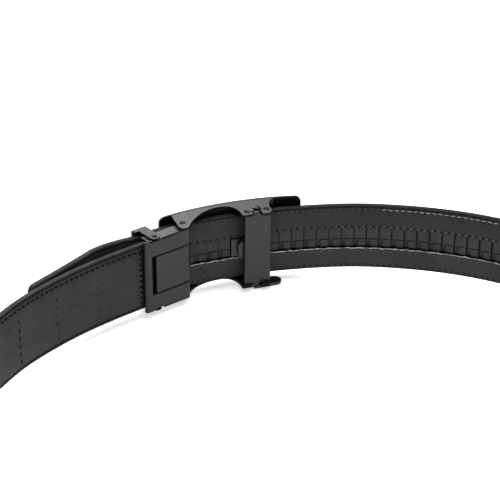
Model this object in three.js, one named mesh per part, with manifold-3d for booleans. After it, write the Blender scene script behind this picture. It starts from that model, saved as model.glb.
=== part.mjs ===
// Ratchet belt, fastened: a leather strap with a toothed track, run once round an open loop,
// a curved face plate with its sprung pawl behind it, and a clamp that holds the strap's cut end.
// Millimetres, +Z up. In the buckle's own plan, the face plate looks towards -Y and +Y is the waist.
import * as THREE from 'three';
import { mergeVertices } from 'three/addons/utils/BufferGeometryUtils.js';
import Module from 'manifold-3d';

const wasm = await Module();
wasm.setup();

// Clearances
const gap = 0.3;            // between pieces that touch or run on each other
const pinGap = 0.3;         // round a pin, on the radius
const overcut = 1;          // how far a cutting body runs past what it cuts

// Fineness of the round shapes
const roundSides = 20;
const curveSteps = 8;
const bendSteps = 6;
const cornerSteps = 4;
const curveDivisions = 3000; // for measuring lengths along the strap
const tolerance = 1e-4;

// Strap
const strapWidth = 35;      // height of the strap as it stands on edge
const strapThickness = 3.9;
const strapChamfer = 0.8;
const strapStep = 7.5;      // length of one straight piece of the swept strap
const tipRadius = 3;
const loopRadius = 169;     // middle of the strap, where it runs past the buckle
const loopCentreX = -3.3;
const strapSeatY = -0.2;    // middle of the strap behind the face plate
const tongueOverhang = 64.3; // free end past the clamp's mouth
const tongueLift = 6;       // widest gap between the free end and the strap behind it

// Toothed track, set in a window of the strap's inner face
const trackBottom = 11.4;
const trackTop = 22.4;
const trackStepHeight = 16.1; // where the low row of teeth meets the high row
const trackRowGap = 0.6;
const trackDepth = 2.9;     // window depth in the strap
const toothPitch = 6.35;
const toothHeight = 1.1;
const toothBase = 0.8;      // strip under the teeth
const toothDraft = 0.12;
const teethTowardsTip = 15; // counted from the pawl
const teethBehindPawl = 31;
const trackEndGap = 1;
const blockEnd = 0.58;      // end of a low tooth, as a share of the pitch
const toothRunout = 0.25;   // height left at the end of a high tooth, as a share

// Face plate
const plateLength = 75.5;
const plateMargin = 6.2;    // height of the plate beyond the strap's width
const plateHeight = strapWidth + plateMargin;
const plateLift = 0.4;      // middle of the plate and frame above the middle of the strap
const plateThickness = 1.6;
const plateRadius = 142;
const plateApexX = 0.5;
const plateFrontY = -7.4;
const plateCornerRadius = 3.2;
const plateBevel = 0.4;
const plateColumns = 12;    // flat strips along the plate's curve

// Buckle frame: a web behind the plate with a flange above and below the strap
const sheet = 1.3;
const webLeftX = 18;
const webRightX = -22.1;
const flangeLeftX = 30.9;
const earRadius = 2.6;
const earReach = 3.1;       // from the pivot pin to the middle of the upper ear's round end
const lowerEarRadius = 2.4; // the lower ear ends inside the clamp's cover
const earEndTurn = 150;     // degrees of the ear's round end
const archApexX = 5.5;
const archRightX = -2;
const archLedge = 0.8;      // flange left beside the web at the top of the arch
const innerEarY = 9.5;
const outerEarY = 10.6;
const innerEarCorner = 1;
const outerEarCorner = 2;

// Bridge bar over the strap, and the pins that hold it
const bridgeWidth = 13.3;
const bridgeRightX = -17;
const bridgeRearY = 8.2;
const bridgeFoot = 3.8;
const bridgeTabWidth = 2.9;
const rivetRadius = 1.2;
const rivetInset = 1.6;     // from the bar's side to the rivet
const rivetY = 6.2;
const rivetProud = 0.2;
const notchWidth = 4.7;
const notchCentreX = -9.7;

// Pawl, its axle and the release tab under the buckle
const axleX = -10.9;
const axleY = 4.1;
const axleRadius = 1.05;
const axleHeadRadius = 2.1;
const axleHeadHeight = 0.7;
const pawlHubRadius = 1.95;
const pawlHeight = 9.4;
const pawlMiddle = 17.2;
const pawlReach = 12.3;     // from the axle to the tip
const pawlStep = 2.6;       // from the tip back to the raised part
const pawlTipThickness = 1.9;
const pawlChamfer = 1.7;
const tabThickness = 1.6;
const tabClearance = 0.8;   // under the lower flange
const tabReach = 13.5;
const tabWidth = 7;
const tabTail = 2.1;

// Clamp box, measured from its pivot pin: +X towards the strap's run, +Y towards the waist
const clampPinX = 27.9;
const clampPinY = 6.8;
const clampTurn = 18.5;     // degrees
const pivotRadius = 1.25;
const clampLength = 23.4;   // from the pin to the mouth
const clampHalfDepth = 3.8;
const clampSheet = 1.1;
const clampWall = 0.8;
const clampLip = 1.1;       // of the cover beyond the pin
const coverNose = 1.5;      // of the cover's rolled edge beyond the channel
const clampRoll = 1.5;      // outer radius of the cover's rolled edge
const strapInClamp = 1.6;   // inner face of the strap, towards the waist from the pin
const slotBottom = 7.3;
const slotInset = 7;        // from the strap's upper edge to the slot's top
const slotTop = strapWidth - slotInset;
const slotMargin = 2.4;     // cover left between the slot and the mouth
const flapMargin = 2.4;     // open slot beside the flap's free edge
const flapBarrel = 3.3;
const flapCurlStart = 75;   // degrees
const gripTeeth = 3;
const gripPitch = 1.5;

// Keeper loop that holds the free end against the clamp
const keeperArmWidth = 5.4;
const keeperBarWidth = 7.7;
const keeperSheet = 1.3;
const keeperArmSheet = 0.9;
const keeperPinInset = 5.9; // from the clamp's mouth
const keeperDepth = 15.3;   // from the clamp's rear face to the front of the bar
const keeperPinRadius = 0.8;
const keeperPinProud = 0.3;
const keeperBend = 1.6;

// Heights that follow from the sizes above
const strapMiddle = strapWidth / 2;
const frameMiddle = strapMiddle + plateLift;
const flangeTop = frameMiddle + plateHeight / 2;
const flangeUnder = flangeTop - sheet;
const flangeBottom = frameMiddle - plateHeight / 2;
const flangeFloor = flangeBottom + sheet;
const tabTop = flangeBottom - tabClearance;
const floorZ = tabTop - tabThickness;
const strapDrop = -floorZ;
const bridgeTop = flangeUnder - gap;
const bridgeBottom = flangeFloor + gap;
const coverTop = bridgeTop;
const sideInner = strapWidth + gap;
const sideOuter = sideInner + clampWall;
const armInner = sideOuter + gap;
const armOuter = armInner + keeperArmSheet;

// Plan places that follow from the sizes above
const plateCentre = new THREE.Vector2(plateApexX, plateFrontY + plateRadius);
const webOuterRadius = plateRadius - plateThickness - gap;
const webInnerRadius = webOuterRadius - sheet;
const trackFloor = strapThickness / 2 - trackDepth;
const bridgeLeftX = bridgeRightX + bridgeWidth;
const pawlTipX = axleX + pawlReach;
const rivetXs = [bridgeLeftX - rivetInset, bridgeRightX + rivetInset];
const outerEarX = rivetXs[1];
const keeperPinX = clampLength - keeperPinInset;
const keeperPinY = clampHalfDepth - keeperArmWidth / 2;
const keeperBarX = keeperPinX - keeperArmWidth / 2;
const strapClampY = strapInClamp - strapThickness / 2;
const clampEndX = flapBarrel + 2 * gap;

// Loop of the strap, seen from above: degrees from the front, share of the loop radius
const LOOP = [
  { turn: 28.9, radius: 0.98 },
  { turn: 37.5, radius: 0.997 },
  { turn: 46.7, radius: 1.018 },
  { turn: 60, radius: 1.04 },
  { turn: 75, radius: 1.052 },
  { turn: 92, radius: 1.054 },
  { turn: 112, radius: 1.046 },
  { turn: 134, radius: 1.032 },
  { turn: 157, radius: 1.015 },
  { turn: 180, radius: 1.004 },
  { turn: 203, radius: 1 },
  { turn: 226, radius: 1 },
  { turn: 249, radius: 1 },
  { turn: 272, radius: 1 },
  { turn: 295, radius: 1 },
  { turn: 318, radius: 1 },
  { turn: 338, radius: 1 },
  { turn: 355.4, radius: 1 },
];
const dropStart = 50;       // degrees from the front where the strap begins to sink to the floor
const dropEnd = 92;
const placesByTongue = 6;   // places of the loop that the free end lies along

// Strap behind the plate: share of the way from the plate's middle to the pivot pin, and how far
// the middle of the strap lies towards the waist, as a share of the strap's thickness
const BEHIND_PLATE = [
  { along: -0.18, offset: 0.03 },
  { along: 0.36, offset: 0.01 },
  { along: 0.83, offset: 0.11 },
  { along: 1.37, offset: 0.67 },
];

// Pulls on the flange's arched edge, as shares of the arch's span or rise
const ARCH = { earPullX: 0.26, earPullY: 0.44, topPullLeft: 0.37, topPullRight: 0.53, sidePull: 0.3 };

// Free end over the strap: share of the overhang, share of the widest gap
const TONGUE = [
  { along: 0.09, lift: 0.82 },
  { along: 0.166, lift: 0.93 },
  { along: 0.252, lift: 1 },
  { along: 0.344, lift: 0.93 },
  { along: 0.449, lift: 0.67 },
  { along: 0.663, lift: 0.28 },
  { along: 0.874, lift: 0.1 },
];

// Colours of the finishes
const blackMetal = { color: 0x2b2b2e, roughness: 0.42, metalness: 0.8 };
const shinyPin = { color: 0x3a3a3d, roughness: 0.35, metalness: 0.85 };
const leather = { color: 0x2c2b2a, roughness: 0.62, metalness: 0 };
const nylon = { color: 0x2e2e30, roughness: 0.5, metalness: 0 };

const belt = new THREE.Group();
const clamp = new THREE.Group();
clamp.position.set(clampPinX, clampPinY, 0);
clamp.rotation.z = THREE.MathUtils.degToRad(clampTurn);
belt.add(clamp);

function addPiece(parent, name, geometry, finish) {
  const mesh = new THREE.Mesh(geometry, new THREE.MeshStandardMaterial(finish));
  mesh.name = name;
  parent.add(mesh);
}

// Closed mesh to solid and back, for cutting and joining
function toSolid(geometry) {
  const bare = geometry.clone();
  bare.deleteAttribute('normal');
  bare.deleteAttribute('uv');
  const merged = mergeVertices(bare, tolerance);
  const vertProperties = new Float32Array(merged.attributes.position.array);
  const triVerts = new Uint32Array(merged.index.array);
  return new wasm.Manifold(new wasm.Mesh({ numProp: 3, vertProperties, triVerts }));
}

function toGeometry(solid) {
  const mesh = solid.getMesh();
  const geometry = new THREE.BufferGeometry();
  geometry.setAttribute('position', new THREE.BufferAttribute(mesh.vertProperties, 3));
  geometry.setIndex(new THREE.BufferAttribute(mesh.triVerts, 1));
  geometry.computeVertexNormals();
  return geometry;
}

function cut(base, tools) {
  let solid = toSolid(base);
  for (const tool of tools) {
    solid = solid.subtract(toSolid(tool));
  }
  return toGeometry(solid);
}

function join(pieces) {
  let solid = toSolid(pieces[0]);
  for (const piece of pieces.slice(1)) {
    solid = solid.add(toSolid(piece));
  }
  return toGeometry(solid);
}

// Plain shapes
function boxBetween(x0, x1, y0, y1, z0, z1) {
  const geometry = new THREE.BoxGeometry(x1 - x0, y1 - y0, z1 - z0);
  return geometry.translate((x0 + x1) / 2, (y0 + y1) / 2, (z0 + z1) / 2);
}

function post(x, y, radius, z0, z1) {
  const geometry = new THREE.CylinderGeometry(radius, radius, z1 - z0, roundSides);
  return geometry.rotateX(Math.PI / 2).translate(x, y, (z0 + z1) / 2);
}

function slab(shape, z0, z1) {
  const options = { depth: z1 - z0, bevelEnabled: false, curveSegments: curveSteps };
  return new THREE.ExtrudeGeometry(shape, options).translate(0, 0, z0);
}

function mirrorHeight(z) {
  return strapWidth - z;
}

function smoothStep(x, from, to) {
  return THREE.MathUtils.smoothstep(x, from, to);
}

// Middle line of the strap, from the cut end in the clamp round the loop to the free end's tip
const loopCentre = new THREE.Vector2(loopCentreX, strapSeatY + loopRadius);

function fromClamp(x, y) {
  const place = new THREE.Vector2(x, y).rotateAround(new THREE.Vector2(), clamp.rotation.z);
  return new THREE.Vector3(place.x + clampPinX, place.y + clampPinY, 0);
}

function onLoop({ turn, radius }) {
  const angle = THREE.MathUtils.degToRad(turn);
  const reach = radius * loopRadius;
  const x = loopCentre.x + reach * Math.sin(angle);
  const y = loopCentre.y - reach * Math.cos(angle);
  return new THREE.Vector3(x, y, 0);
}

function outwardOf(tangent) {
  return new THREE.Vector3(tangent.y, -tangent.x, 0).normalize();
}

function smoothCurve(points) {
  const curve = new THREE.CatmullRomCurve3(points, false, 'centripetal');
  curve.arcLengthDivisions = curveDivisions;
  return curve;
}

const clampStretch = [
  fromClamp(clampEndX, strapClampY),
  fromClamp(clampLength / 2, strapClampY),
  fromClamp(clampLength, strapClampY),
];
const loopStretch = LOOP.map(onLoop);
const tailCurve = smoothCurve([...clampStretch, ...loopStretch.slice(0, placesByTongue)]);
const mouthDistance = clampLength - clampEndX;

function tonguePoint({ along, lift }) {
  const distance = mouthDistance + along * tongueOverhang;
  const share = distance / tailCurve.getLength();
  const outward = outwardOf(tailCurve.getTangentAt(share));
  const offset = strapThickness + lift * tongueLift;
  return tailCurve.getPointAt(share).addScaledVector(outward, offset);
}

const plateStretch = BEHIND_PLATE.map(({ along, offset }) => {
  const x = plateApexX + along * (clampPinX - plateApexX);
  return new THREE.Vector3(x, strapSeatY + offset * strapThickness, 0);
});
const tongueOuterAtKeeper = clampHalfDepth - keeperDepth + keeperSheet + gap;
const keeperStretch = [keeperBarX, keeperBarX + keeperBarWidth].map((x) => {
  return fromClamp(x, tongueOuterAtKeeper + strapThickness / 2);
});
const tipPoint = tonguePoint({ along: 1, lift: gap / tongueLift });
const tongueStretch = [...keeperStretch, ...TONGUE.map(tonguePoint), tipPoint];
const strapCurve = smoothCurve([...clampStretch, ...loopStretch, ...plateStretch, ...tongueStretch]);
const strapLength = strapCurve.getLength();

function strapDropAt(point) {
  const turn = Math.atan2(Math.abs(point.x - loopCentre.x), loopCentre.y - point.y);
  return -strapDrop * smoothStep(THREE.MathUtils.radToDeg(turn), dropStart, dropEnd);
}

function strapStation(distance) {
  const share = THREE.MathUtils.clamp(distance / strapLength, 0, 1);
  const point = strapCurve.getPointAt(share);
  const outward = outwardOf(strapCurve.getTangentAt(share));
  point.z = strapDropAt(point);
  return { point, outward, distance };
}

// Solid swept along stations; sectionAt gives [outward, height] corners, anticlockwise
function sweep(stations, sectionAt) {
  const positions = [];
  const index = [];
  const sections = stations.map(sectionAt);
  const count = sections[0].length;
  stations.forEach(({ point, outward }, i) => {
    for (const [offset, height] of sections[i]) {
      positions.push(point.x + outward.x * offset, point.y + outward.y * offset, point.z + height);
    }
  });
  for (let i = 0; i < stations.length - 1; i++) {
    for (let j = 0; j < count; j++) {
      const next = (j + 1) % count;
      const a = i * count + j;
      const b = i * count + next;
      const c = a + count;
      const d = b + count;
      index.push(a, c, d, a, d, b);
    }
  }
  const contour = (section) => section.map(([x, y]) => new THREE.Vector2(x, y));
  const last = (stations.length - 1) * count;
  for (const [a, b, c] of THREE.ShapeUtils.triangulateShape(contour(sections[0]), [])) {
    index.push(a, b, c);
  }
  for (const [a, b, c] of THREE.ShapeUtils.triangulateShape(contour(sections.at(-1)), [])) {
    index.push(last + a, last + c, last + b);
  }
  const geometry = new THREE.BufferGeometry();
  geometry.setAttribute('position', new THREE.Float32BufferAttribute(positions, 3));
  geometry.setIndex(index);
  geometry.computeVertexNormals();
  return geometry;
}

// Where the pawl's tip meets a tooth: the distance along the strap of its drop face
function distanceAtX(x) {
  let low = strapLength - tongueOverhang - 2 * plateLength;
  let high = strapLength - tongueOverhang;
  while (high - low > tolerance) {
    const middle = (low + high) / 2;
    if (strapStation(middle).point.x < x) low = middle;
    else high = middle;
  }
  return (low + high) / 2;
}

const lockDistance = distanceAtX(pawlTipX + gap);
const trackStart = lockDistance - teethBehindPawl * toothPitch;
const trackEnd = lockDistance + teethTowardsTip * toothPitch;

// Strap, with its rounded tip and the window for the track
function strapSection({ distance }) {
  const toTip = strapLength - distance;
  const short = Math.max(tipRadius - toTip, 0);
  const inset = tipRadius - Math.sqrt(tipRadius ** 2 - short ** 2);
  const half = strapThickness / 2;
  const low = inset;
  const high = strapWidth - inset;
  return [
    [-half, low + strapChamfer],
    [-half + strapChamfer, low],
    [half - strapChamfer, low],
    [half, low + strapChamfer],
    [half, high - strapChamfer],
    [half - strapChamfer, high],
    [-half + strapChamfer, high],
    [-half, high - strapChamfer],
  ];
}

function strapDistances(from, to) {
  const count = Math.round((to - from) / strapStep);
  return Array.from({ length: count + 1 }, (_, i) => from + (i * (to - from)) / count);
}

function makeStrap() {
  const tipShares = [0, 0.15, 0.4, 0.7];
  const windowStart = trackStart - trackEndGap;
  const windowEnd = trackEnd + trackEndGap;
  const clampToWindow = strapDistances(0, windowStart);
  const alongWindow = strapDistances(windowStart, windowEnd);
  const windowToTip = strapDistances(windowEnd, strapLength - tipRadius);
  const tip = tipShares.map((share) => strapLength - tipRadius * share).reverse();
  const distances = [...clampToWindow, ...alongWindow.slice(1), ...windowToTip.slice(1), ...tip];
  const stations = distances.map(strapStation);
  const window = alongWindow.map(strapStation);
  const windowSection = () => [
    [-strapThickness / 2 - overcut, trackBottom],
    [-trackFloor, trackBottom],
    [-trackFloor, trackTop],
    [-strapThickness / 2 - overcut, trackTop],
  ];
  return cut(sweep(stations, strapSection), [sweep(window, windowSection)]);
}
addPiece(belt, 'strap', makeStrap(), leather);

// Track: two rows of teeth that rise one way and drop the other, the high row above the low one
function makeTrack() {
  const back = -trackFloor - gap;
  const floor = back - toothBase;
  const lowRowTop = trackStepHeight - trackRowGap / 2;
  const highRowBottom = trackStepHeight + trackRowGap / 2;
  const section = ({ low, high }) => [
    [floor - low * toothHeight, trackBottom + gap],
    [back, trackBottom + gap],
    [back, trackTop - gap],
    [floor - high * toothHeight, trackTop - gap],
    [floor - high * toothHeight, highRowBottom],
    [floor, highRowBottom - toothDraft],
    [floor, lowRowTop + toothDraft],
    [floor - low * toothHeight, lowRowTop],
  ];
  // Along one tooth: share of the pitch, heights of the low and the high row as shares
  const draft = toothDraft / toothPitch;
  const PROFILE = [
    { along: 0, low: 0.7, high: 1 },
    { along: blockEnd, low: 0.5, high: 0.56 },
    { along: blockEnd + draft, low: 0.02, high: 0.54 },
    { along: 1 - draft, low: 0.02, high: toothRunout },
  ];
  const stations = [];
  for (let tooth = 0; tooth < teethBehindPawl + teethTowardsTip; tooth++) {
    for (const { along, low, high } of PROFILE) {
      const distance = trackStart + (tooth + along) * toothPitch;
      stations.push({ ...strapStation(distance), low, high });
    }
  }
  return sweep(stations, section);
}
addPiece(belt, 'ratchet_track', makeTrack(), nylon);

// Curved face plate: an upright rounded rectangle, wrapped on the plate's radius
function bendToPlate(geometry) {
  const position = geometry.attributes.position;
  for (let i = 0; i < position.count; i++) {
    const angle = position.getX(i) / plateRadius;
    const radius = plateRadius - position.getY(i);
    const x = plateCentre.x + radius * Math.sin(angle);
    const y = plateCentre.y - radius * Math.cos(angle);
    position.setXYZ(i, x, y, position.getZ(i));
  }
  geometry.computeVertexNormals();
  return geometry;
}

function roundedOutline(width, height, radius) {
  const outline = [];
  const corner = (cx, cy, start) => {
    for (let i = 0; i <= cornerSteps; i++) {
      const angle = start + (i * Math.PI) / (2 * cornerSteps);
      outline.push([cx + radius * Math.cos(angle), cy + radius * Math.sin(angle)]);
    }
  };
  const side = width / 2 - radius;
  const rise = height / 2 - radius;
  const row = (y, direction) => {
    for (let i = 1; i < plateColumns; i++) {
      outline.push([direction * (side - (2 * side * i) / plateColumns), y]);
    }
  };
  corner(side, rise, 0);
  row(height / 2, 1);
  corner(-side, rise, Math.PI / 2);
  corner(-side, -rise, Math.PI);
  row(-height / 2, -1);
  corner(side, -rise, 1.5 * Math.PI);
  return outline;
}

function makeFacePlate() {
  const rings = [
    { inset: plateBevel, depth: 0 },
    { inset: 0, depth: plateBevel },
    { inset: 0, depth: plateThickness },
  ];
  const positions = [];
  const index = [];
  const count = roundedOutline(plateLength, plateHeight, plateCornerRadius).length;
  for (const { inset, depth } of rings) {
    const radius = plateCornerRadius - inset;
    const ring = roundedOutline(plateLength - 2 * inset, plateHeight - 2 * inset, radius);
    for (const [x, z] of ring) positions.push(x, depth, z + frameMiddle);
  }
  for (let ring = 0; ring < rings.length - 1; ring++) {
    for (let j = 0; j < count; j++) {
      const next = (j + 1) % count;
      const a = ring * count + j;
      const b = ring * count + next;
      index.push(a, b + count, b, a, a + count, b + count);
    }
  }
  // Each lid is strips between the upper and the lower edge, so that it bends with the plate
  const last = (rings.length - 1) * count;
  for (let a = 0; a < count / 2 - 1; a++) {
    const b = a + 1;
    const c = count - 1 - a;
    const d = c - 1;
    index.push(a, d, c, a, b, d);
    index.push(last + a, last + c, last + d, last + a, last + d, last + b);
  }
  const geometry = new THREE.BufferGeometry();
  geometry.setAttribute('position', new THREE.Float32BufferAttribute(positions, 3));
  geometry.setIndex(index);
  return bendToPlate(geometry);
}
addPiece(belt, 'face_plate', makeFacePlate(), blackMetal);

// Buckle frame: the curved web and two flanges in one sheet; the lower flange has a shorter ear
function plateSideY(radius, x) {
  return plateCentre.y - Math.sqrt(radius ** 2 - (x - plateCentre.x) ** 2);
}

function arcAlongPlate(shape, radius, fromX, toX) {
  const angle = (x) => Math.asin((x - plateCentre.x) / radius) - Math.PI / 2;
  shape.absarc(plateCentre.x, plateCentre.y, radius, angle(fromX), angle(toX), toX < fromX);
}

function flangeShape(reach, round) {
  const earX = flangeLeftX - round;
  const earY = clampPinY + reach;
  const earEnd = THREE.MathUtils.degToRad(earEndTurn);
  const earSide = new THREE.Vector2(round, 0).rotateAround(new THREE.Vector2(), earEnd);
  earSide.x += earX;
  earSide.y += earY;
  const archTopY = plateSideY(webInnerRadius, archApexX) + archLedge;
  const leftSpan = earSide.x - archApexX;
  const rightSpan = archApexX - archRightX;
  const rightRise = rivetY - archTopY;
  const rightEndY = plateSideY(webOuterRadius, webRightX);
  const innerCornerX = archRightX - innerEarCorner;
  const shape = new THREE.Shape();
  shape.moveTo(webRightX, rightEndY);
  arcAlongPlate(shape, webOuterRadius, webRightX, flangeLeftX);
  shape.lineTo(flangeLeftX, earY);
  shape.absarc(earX, earY, round, 0, earEnd, false);
  shape.bezierCurveTo(
    earSide.x - ARCH.earPullX * leftSpan, earSide.y - ARCH.earPullY * leftSpan,
    archApexX + ARCH.topPullLeft * leftSpan, archTopY,
    archApexX, archTopY,
  );
  shape.bezierCurveTo(
    archApexX - ARCH.topPullRight * rightSpan, archTopY,
    archRightX, archTopY + ARCH.sidePull * rightRise,
    archRightX, rivetY,
  );
  shape.lineTo(archRightX, innerEarY - innerEarCorner);
  shape.absarc(innerCornerX, innerEarY - innerEarCorner, innerEarCorner, 0, Math.PI / 2, false);
  shape.lineTo(notchCentreX, innerEarY);
  shape.lineTo(notchCentreX, outerEarY);
  shape.absarc(outerEarX, outerEarY - outerEarCorner, outerEarCorner, Math.PI / 2, Math.PI, false);
  shape.quadraticCurveTo(
    outerEarX - outerEarCorner, plateSideY(webInnerRadius, webRightX) + outerEarCorner,
    webRightX, rightEndY,
  );
  return shape;
}

function webShape() {
  const shape = new THREE.Shape();
  shape.moveTo(webRightX, plateSideY(webOuterRadius, webRightX));
  arcAlongPlate(shape, webOuterRadius, webRightX, webLeftX);
  shape.lineTo(webLeftX, plateSideY(webInnerRadius, webLeftX));
  arcAlongPlate(shape, webInnerRadius, webLeftX, webRightX);
  shape.closePath();
  return shape;
}

function makeFrame() {
  const pieces = [
    slab(webShape(), flangeBottom, flangeTop),
    slab(flangeShape(earReach, earRadius), flangeUnder, flangeTop),
    slab(flangeShape(0, lowerEarRadius), flangeBottom, flangeFloor),
  ];
  const low = flangeBottom - overcut;
  const high = flangeTop + overcut;
  const notchX = notchCentreX - notchWidth / 2;
  const notchStart = axleY + axleRadius + pinGap + archLedge;
  const holes = [
    post(clampPinX, clampPinY, pivotRadius + pinGap, low, high),
    post(axleX, axleY, axleRadius + pinGap, low, high),
    boxBetween(notchX, notchX + notchWidth, notchStart, outerEarY + overcut, low, high),
    ...rivetXs.map((x) => post(x, rivetY, rivetRadius + pinGap, low, high)),
  ];
  return cut(join(pieces), holes);
}
addPiece(belt, 'buckle_frame', makeFrame(), blackMetal);

// Bridge bar: a plate across the strap's inner side with a foot under each flange
function makeBridge() {
  const low = bridgeBottom;
  const innerY = bridgeRearY - sheet;
  const footY = bridgeRearY - bridgeFoot;
  const tabX = notchCentreX - bridgeTabWidth / 2;
  const body = join([
    boxBetween(bridgeRightX, bridgeLeftX, innerY, bridgeRearY, low, bridgeTop),
    boxBetween(bridgeRightX, bridgeLeftX, footY, bridgeRearY, bridgeTop - sheet, bridgeTop),
    boxBetween(bridgeRightX, bridgeLeftX, footY, bridgeRearY, low, low + sheet),
    boxBetween(tabX, tabX + bridgeTabWidth, innerY, bridgeRearY, flangeBottom, flangeTop),
  ]);
  const cuts = rivetXs.map((x) => post(x, rivetY, rivetRadius + pinGap, floorZ, flangeTop + overcut));
  cuts.push(post(axleX, axleY, axleRadius + pinGap, floorZ, flangeTop));
  return cut(body, cuts);
}
addPiece(belt, 'bridge_bar', makeBridge(), blackMetal);

rivetXs.forEach((x, i) => {
  const side = ['left', 'right'][i];
  const top = post(x, rivetY, rivetRadius, bridgeTop - sheet, flangeTop + rivetProud);
  const bottom = post(x, rivetY, rivetRadius, flangeBottom, bridgeBottom + sheet);
  addPiece(belt, `bridge_rivet_top_${side}`, top, shinyPin);
  addPiece(belt, `bridge_rivet_bottom_${side}`, bottom, shinyPin);
});

// Release: an axle through both flanges, the pawl on it, and the finger tab under the buckle
function makeAxle() {
  const headLow = flangeTop + gap;
  return join([
    post(axleX, axleY, axleRadius, floorZ + gap, headLow + axleHeadHeight),
    post(axleX, axleY, axleHeadRadius, headLow, headLow + axleHeadHeight),
  ]);
}
addPiece(belt, 'pawl_axle', makeAxle(), shinyPin);

function makePawl() {
  const strapInner = strapSeatY + strapThickness / 2;
  const toothFloor = strapInner - trackDepth + gap + toothBase;
  const tipUnder = toothFloor + toothRunout * toothHeight + gap;
  const bodyUnder = axleY - pawlHubRadius;
  const tipTop = tipUnder + pawlTipThickness;
  const low = pawlMiddle - pawlHeight / 2;
  const high = pawlMiddle + pawlHeight / 2;
  const stepX = pawlTipX - pawlStep;
  const blade = new THREE.Shape();
  blade.moveTo(axleX, axleY + pawlHubRadius);
  blade.absarc(axleX, axleY, pawlHubRadius, Math.PI / 2, 1.5 * Math.PI, false);
  blade.lineTo(pawlTipX - 2 * pawlStep, bodyUnder);
  blade.lineTo(pawlTipX, tipUnder);
  blade.lineTo(pawlTipX, tipTop - gap);
  blade.lineTo(stepX, tipTop);
  blade.lineTo(axleX, axleY);
  const block = new THREE.Shape();
  block.moveTo(axleX, axleY);
  block.lineTo(stepX, bodyUnder + gap);
  block.lineTo(stepX, axleY + pawlHubRadius - 2 * gap);
  block.lineTo(axleX, axleY + pawlHubRadius);
  const turned = (z) => {
    const side = Math.SQRT2 * pawlChamfer;
    const wedge = new THREE.BoxGeometry(side, 2 * pawlReach, side).rotateY(Math.PI / 4);
    return wedge.translate(stepX, axleY, z);
  };
  const raised = cut(slab(block, low, high), [turned(low), turned(high)]);
  const bore = post(axleX, axleY, axleRadius + pinGap, low - overcut, high + overcut);
  return cut(join([slab(blade, low, high), raised]), [bore]);
}
addPiece(belt, 'ratchet_pawl', makePawl(), blackMetal);

function makeTab() {
  const round = tabWidth / 2;
  const corner = tabTail / 2;
  const left = axleX + tabTail;
  const right = axleX - tabReach;
  const shape = new THREE.Shape();
  shape.moveTo(left, axleY - round + corner);
  shape.lineTo(left, axleY + round - corner);
  shape.absarc(left - corner, axleY + round - corner, corner, 0, Math.PI / 2, false);
  shape.absarc(right + round, axleY, round, Math.PI / 2, 1.5 * Math.PI, false);
  shape.absarc(left - corner, axleY - round + corner, corner, -Math.PI / 2, 0, false);
  const bore = post(axleX, axleY, axleRadius + pinGap, floorZ - overcut, tabTop + overcut);
  return cut(slab(shape, floorZ, tabTop), [bore]);
}
addPiece(belt, 'release_tab', makeTab(), blackMetal);

// Clamp cover: the rear plate, rolled at the mouth, with the slot that the flap closes
function makeCover() {
  const inner = clampHalfDepth - clampSheet;
  const mouth = clampLength + coverNose;
  const rollX = mouth - clampRoll;
  const rollY = clampHalfDepth - clampRoll;
  const lipEnd = strapInClamp + gap;
  const rollInner = clampRoll - clampSheet;
  const shape = new THREE.Shape();
  shape.moveTo(-clampLip, inner);
  shape.lineTo(rollX, inner);
  shape.absarc(rollX, rollY, rollInner, Math.PI / 2, 0, true);
  shape.lineTo(rollX + rollInner, lipEnd);
  shape.lineTo(mouth, lipEnd);
  shape.absarc(rollX, rollY, clampRoll, 0, Math.PI / 2, false);
  shape.lineTo(-clampLip, clampHalfDepth);
  const low = mirrorHeight(coverTop);
  const near = rollY - overcut;
  const far = clampHalfDepth + overcut;
  const slotX = clampLength - slotMargin;
  const armLow = keeperPinX - keeperArmWidth / 2 - gap;
  const armHigh = keeperPinX + keeperArmWidth / 2 + gap;
  return cut(slab(shape, low, coverTop), [
    boxBetween(-clampLip - overcut, slotX, near, far, slotBottom, slotTop),
    boxBetween(armLow, armHigh, near, far, sideOuter, coverTop + overcut),
    boxBetween(armLow, armHigh, near, far, low - overcut, mirrorHeight(sideOuter)),
  ]);
}
addPiece(clamp, 'clamp_cover', makeCover(), blackMetal);

// Clamp channel: the wall on the strap's outer side, and a side wall above and below the strap
function makeChannel() {
  const wall = clampHalfDepth - clampSheet - gap;
  const end = clampLength - clampSheet - gap;
  const side = new THREE.Shape();
  side.moveTo(0, wall);
  side.absarc(0, 0, wall, Math.PI / 2, 1.5 * Math.PI, false);
  side.lineTo(clampEndX, -clampHalfDepth);
  side.lineTo(end, -clampHalfDepth);
  side.lineTo(end, wall);
  const low = mirrorHeight(sideOuter);
  const body = join([
    boxBetween(clampEndX, end, -clampHalfDepth, clampSheet - clampHalfDepth, low, sideOuter),
    slab(side, sideInner, sideOuter),
    slab(side, low, mirrorHeight(sideInner)),
  ]);
  return cut(body, [
    post(0, 0, pivotRadius + pinGap, low - overcut, sideOuter + overcut),
    post(keeperPinX, keeperPinY, keeperPinRadius + pinGap, low - overcut, sideOuter + overcut),
  ]);
}
addPiece(clamp, 'clamp_channel', makeChannel(), blackMetal);

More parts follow.
